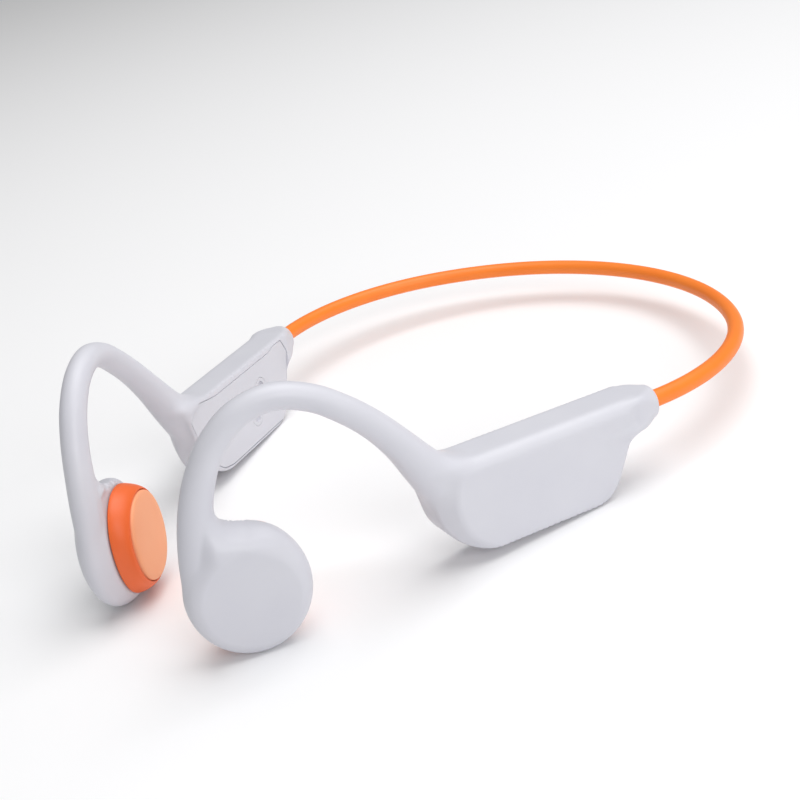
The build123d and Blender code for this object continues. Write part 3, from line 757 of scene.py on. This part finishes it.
# rings of the pod's wall, from its spigot in the shell to the groove round the pad:
# half width, half height, depth and centre
wall_rings = (
    (7.9, 9.8, 5.5, 0.0, 0.0),
    (7.9, 9.8, 4.2, 0.0, 0.0),
    (9.0, 11.05, 4.2, 0.15, 0.0),
    (9.16, 11.2, 4.16, 0.15, 0.0),
    (9.22, 11.24, 4.0, 0.17, 0.0),
    (9.26, 11.14, 3.4, 0.28, -0.04),
    (9.26, 10.86, 2.6, 0.5, -0.12),
    (9.2, 10.56, 2.0, 0.7, -0.2),
    (9.1, 10.26, 1.5, 0.86, -0.27),
    (8.94, 9.96, 1.1, 1.0, -0.32),
    (8.76, 9.7, 0.84, 1.12, -0.36),
    (8.58, 9.5, 0.68, 1.2, -0.38),
    (8.46, 9.36, 0.62, 1.26, -0.4),
    (8.4, 9.29, 0.66, 1.3, -0.4),
    (8.37, 9.26, 0.76, 1.3, -0.4),
    (8.37, 9.26, 1.5, 1.3, -0.4),
)
# rings of the pad, from its back to its crown: half width, half height and depth
pad_rings = (
    (8.18, 9.06, 1.4),
    (8.18, 9.06, 0.6),
    (8.15, 9.03, 0.42),
    (8.07, 8.94, 0.28),
    (7.94, 8.8, 0.18),
    (7.55, 8.35, 0.09),
    (6.4, 7.1, 0.03),
    (4.2, 4.6, 0.0),
)
pad_centre = (1.3, -0.4)
pod_fullness = 2.1


def make_driver_wall():
    """Side wall of the pod, leaning back towards the pad, with a spigot inside the shell."""
    builder = bmesh.new()
    add_ovals(builder, pod, wall_rings, fullness=pod_fullness)
    return object_from(builder, "driver_wall_left")


def make_touch_pad():
    """Pale pad that rests on the skin, barely crowned."""
    builder = bmesh.new()
    add_ovals(builder, pod, [(*ring, *pad_centre) for ring in pad_rings], fullness=pod_fullness)
    return object_from(builder, "touch_pad_left")


def make_band(name, radius, height, segments):
    """Round bar along the neckband from collar to collar, spun through its three arcs."""
    side_steps, back_steps = 28, 48
    builder = bmesh.new()
    across = Axes(housing.origin, housing.basis[2], band.basis[2], housing.basis[0])
    start = across.matrix() @ Matrix.Translation((0, height, -band_insertion))
    ring = bmesh.ops.create_circle(builder, segments=segments, radius=radius, matrix=start)["verts"]
    first = edges = list({edge for vertex in ring for edge in vertex.link_edges})
    up = Vector(band.basis[2])
    back = Vector(housing.basis[0]) * band_insertion * MM

    def pushed(edges, way):
        grown = bmesh.ops.extrude_edge_only(builder, edges=edges)["geom"]
        verts = [item for item in grown if isinstance(item, bmesh.types.BMVert)]
        bmesh.ops.translate(builder, verts=verts, vec=way)
        return [item for item in grown if isinstance(item, bmesh.types.BMEdge)]

    def spun(edges, centre, turn, steps):
        middle = Vector(band.place(centre)) * MM
        grown = bmesh.ops.spin(
            builder, geom=edges, cent=middle, axis=up, angle=radians(turn), steps=steps
        )["geom_last"]
        return [item for item in grown if isinstance(item, bmesh.types.BMEdge)]

    side_turn = 90 + housing_toe - band_back_angle
    at_exit = band.local(housing.origin)
    toe = radians(housing_toe)
    side_centre = at_exit + np.array([-cos(toe), sin(toe), 0]) * band_side_radius
    edges = pushed(edges, back)
    edges = spun(edges, side_centre, side_turn, side_steps)
    edges = spun(edges, (0, -band_back_radius, 0), 2 * band_back_angle, back_steps)
    edges = spun(edges, side_centre * (-1, 1, 1), side_turn, side_steps)
    edges = pushed(edges, Vector((back.x, -back.y, -back.z)))
    bmesh.ops.holes_fill(builder, edges=first + edges, sides=segments)
    bmesh.ops.recalc_face_normals(builder, faces=builder.faces)
    return object_from(builder, name)


# ---- camera, light and floor ----

world_strength = 0.26
floor_half = 6.0


def look_from(azimuth, elevation, roll, distance, target, lens):
    """Camera that looks at a point in millimetres."""
    turn, rise, tip = radians(azimuth), radians(elevation), radians(roll)
    towards = Vector((sin(turn) * cos(rise), -cos(turn) * cos(rise), sin(rise)))
    right = Vector((0, 0, 1)).cross(towards).normalized()
    up = towards.cross(right)
    tipped = right * cos(tip) + up * sin(tip)
    camera = bpy.data.cameras.new("camera")
    camera.lens = lens
    camera.clip_start = 0.01
    made = bpy.data.objects.new("camera", camera)
    turned = Matrix((tipped, towards.cross(tipped), towards)).transposed().to_4x4()
    made.matrix_world = Matrix.Translation((Vector(target) + towards * distance) * MM) @ turned
    bpy.context.scene.collection.objects.link(made)
    bpy.context.scene.camera = made


def panel_light(name, place, aim, size, power):
    """Large soft light, with its place, aim and size in metres."""
    light = bpy.data.lights.new(name, "AREA")
    light.size = size
    light.energy = power
    made = bpy.data.objects.new(name, light)
    turn = (Vector(place) - Vector(aim)).to_track_quat("Z", "Y").to_matrix().to_4x4()
    made.matrix_world = Matrix.Translation(Vector(place)) @ turn
    bpy.context.scene.collection.objects.link(made)


def make_floor():
    builder = bmesh.new()
    bmesh.ops.create_grid(builder, x_segments=1, y_segments=1, size=floor_half)
    floor = object_from(builder, "floor")
    finish = Finish("floor_white", Roughness=0.9)
    finish.set(Base_Color=rgba(250, 250, 251))
    floor.data.materials.append(finish.material)


def make_world():
    world = bpy.data.worlds.new("studio")
    bpy.context.scene.world = world
    world.use_nodes = True
    background = world.node_tree.nodes["Background"]
    background.inputs["Color"].default_value = (1.0, 1.0, 1.0, 1.0)
    background.inputs["Strength"].default_value = world_strength


look_from(
    azimuth=46.715, elevation=25.321, roll=-13.416,
    distance=303.73, target=(9.116, -13.227, 20.0), lens=66.403,
)
make_world()
make_floor()
panel_light("overhead", (0.15, 0.2, 0.9), (0.0, 0.0, 0.02), 0.9, 7.8)
panel_light("right_fill", (0.9, -0.25, 0.5), (0.0, -0.02, 0.02), 0.5, 3.4)
bpy.context.scene.view_settings.view_transform = "Standard"

# ---- finishes ----

shell_grey = moulded("grey_plastic", (213, 213, 220), (209, 209, 217), 0.42, 0.006, 0.16)
cover_grey = moulded("cover_plastic", (213, 213, 220), (210, 210, 217), 0.42, 0.006, 0.16)
band_orange = moulded("orange_band", (255, 136, 42), (253, 130, 36), 0.46, 0.008, 0.22)
wall_orange = moulded("orange_silicone", (244, 112, 52), (240, 106, 46), 0.42, 0.006, 0.2)
pad_pale = moulded("pale_silicone", (255, 178, 132), (254, 172, 126), 0.55, 0.008, 0.2)
black_rubber = moulded("black_rubber", (34, 34, 36), (28, 28, 30), 0.7, 0.01, 0.2)
cable_jacket = moulded("cable_jacket", (52, 52, 56), (44, 44, 48), 0.55, 0.008, 0.2)
dark_plastic = moulded("dark_plastic", (46, 46, 50), (40, 40, 44), 0.45, 0.006, 0.16)
white_connector = moulded("white_connector", (236, 234, 226), (230, 228, 218), 0.5, 0.006, 0.2)
circuit_board = moulded("circuit_board", (26, 92, 62), (20, 80, 54), 0.4, 0.02, 0.5)
foil_pouch = moulded("foil_pouch", (196, 198, 202), (180, 182, 188), 0.35, 0.03, 0.9, Metallic=0.7)
ceramic_chip = moulded("ceramic_chip", (206, 190, 160), (196, 180, 150), 0.55, 0.008, 0.2)
titanium_wire = metal("titanium_wire", (170, 166, 160), 0.38, 0.12)
plated_steel = metal("plated_steel", (196, 198, 202), 0.32, 0.1)
magnet_plating = metal("magnet_plating", (206, 204, 198), 0.24, 0.1)
copper_winding = metal("copper_winding", (200, 118, 72), 0.34, 0.08)
spring_steel = metal("spring_steel", (182, 184, 188), 0.3, 0.08)
screw_steel = metal("screw_steel", (150, 152, 156), 0.36, 0.1)
shield_can = metal("shield_can", (188, 190, 194), 0.4, 0.2)
gold_plating = metal("gold_plating", (232, 186, 92), 0.24, 0.08)


def clear_finish():
    """Clear moulded plastic, faintly frosted."""
    finish = Finish("clear_plastic", Transmission_Weight=0.85, IOR=1.49)
    frost = finish.noise(0.15, 2.0)
    finish.set(
        Base_Color=finish.tint(finish.spread(frost, 0.0, 1.0), (236, 240, 242), (228, 232, 236)),
        Roughness=finish.spread(frost, 0.22, 0.34),
        Normal=finish.bump(frost, 0.004),
    )
    return finish.material


clear_plastic = clear_finish()

node_finishes = {
    "hook_spring_wire": titanium_wire, "hook_cable": cable_jacket, "cover_seal": black_rubber,
    "transducer_housing": wall_orange, "contact_pad": pad_pale, "pod_seal": black_rubber,
    "yoke": plated_steel, "magnet": magnet_plating, "top_plate": plated_steel,
    "voice_coil": copper_winding, "flexure": spring_steel, "flexure_screws": screw_steel,
    "terminal_board": circuit_board, "battery": foil_pouch, "battery_tape": black_rubber,
    "battery_board": circuit_board, "main_board": circuit_board, "board_screws": screw_steel,
    "radio_shield": shield_can, "antenna": ceramic_chip, "board_connectors": white_connector,
    "volume_up_button": shell_grey, "volume_down_button": shell_grey,
    "button_membrane": black_rubber, "button_switches": dark_plastic, "microphone": shield_can, "microphone_mesh": spring_steel,
    "light_pipe": clear_plastic, "status_light": ceramic_chip, "charging_socket": cover_grey,
    "charging_pins": gold_plating, "charging_magnets": magnet_plating,
    "body_shell": shell_grey, "inner_cover": cover_grey, "neckband_sleeve": band_orange,
    "neckband_spring_wire": spring_steel, "neckband_cable": cable_jacket,
}
for node_name, node in nodes.items():
    kind = node_name.removesuffix("_left").removesuffix("_right")
    for slot in node.material_slots:
        slot.material = node_finishes[kind]


# ---- assembly ----

def finished(piece, material, slot_name, body, *replaced):
    """Give a piece its finish and its place in the assembly."""
    smooth_shading(piece)
    piece.data.materials.clear()
    piece.data.materials.append(material)
    if body:
        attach(piece, body)
    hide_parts(*replaced)
    return piece


skin = make_skin()
left_shell = make_shell(skin, False)
left_shell.name = "moulded_shell_left"
right_shell_model = make_shell(skin, True)
right_shell = mirrored(right_shell_model, "moulded_shell_right")
for spare in (skin, right_shell_model):
    bpy.data.objects.remove(spare)
finished(left_shell, shell_grey, "grey_plastic", "left_side", "body_shell_left")
finished(right_shell, shell_grey, "grey_plastic", "right_side", "body_shell_right")

left_cover = make_cover(False)
right_cover_model = make_cover(True)
right_cover = mirrored(right_cover_model, "head_cover_right")
bpy.data.objects.remove(right_cover_model)
left_cover.name = "head_cover_left"
finished(left_cover, cover_grey, "grey_plastic", "left_side", "inner_cover_left")
finished(right_cover, cover_grey, "grey_plastic", "right_side", "inner_cover_right")

for make, name, material, slot_name, kind in (
    (make_driver_wall, "driver_wall", wall_orange, "orange_silicone", "transducer_housing"),
    (make_touch_pad, "touch_pad", pad_pale, "pale_silicone", "contact_pad"),
):
    left_piece = make()
    right_piece = mirrored(left_piece, name + "_right")
    finished(left_piece, material, slot_name, "left_side", kind + "_left")
    finished(right_piece, material, slot_name, "right_side", kind + "_right")

for name, radius, height, segments, material, slot_name, node_name in (
    ("band_sleeve", band_radius, 0.0, 40, band_orange, "orange_band", "neckband_sleeve"),
    ("band_spring", 0.4, -0.65, 16, spring_steel, "spring_steel", "neckband_spring_wire"),
    ("band_cable", 0.45, 0.7, 16, cable_jacket, "cable_jacket", "neckband_cable"),
):
    piece = make_band(name, radius, height, segments)
    finished(piece, material, slot_name, None, node_name)
    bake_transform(piece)
